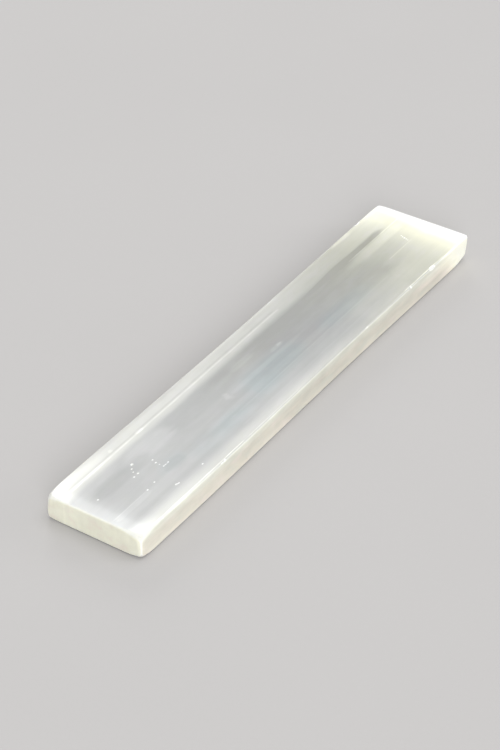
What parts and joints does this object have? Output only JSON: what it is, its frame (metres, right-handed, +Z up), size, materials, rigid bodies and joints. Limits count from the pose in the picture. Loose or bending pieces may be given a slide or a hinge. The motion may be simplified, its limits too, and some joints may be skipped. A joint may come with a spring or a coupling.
{
  "type": "selenite slab",
  "caption": "Long flat bar of translucent satin spar, sawn across at both ends and polished, that lies on a table to hold small stones or as decoration.",
  "frame": {"origin": "middle of the broad lower face, which lies on the table", "axes": "+X along the slab from the near end to the far end, +Y across it to the left side, +Z up through its thickness"},
  "size_m": [0.2032, 0.038, 0.0095],
  "materials": {
    "selenite": "polished, translucent, silky along the fibres"
  },
  "bodies": {
    "root": {"selenite_slab": "selenite"}
  },
  "joints": []
}
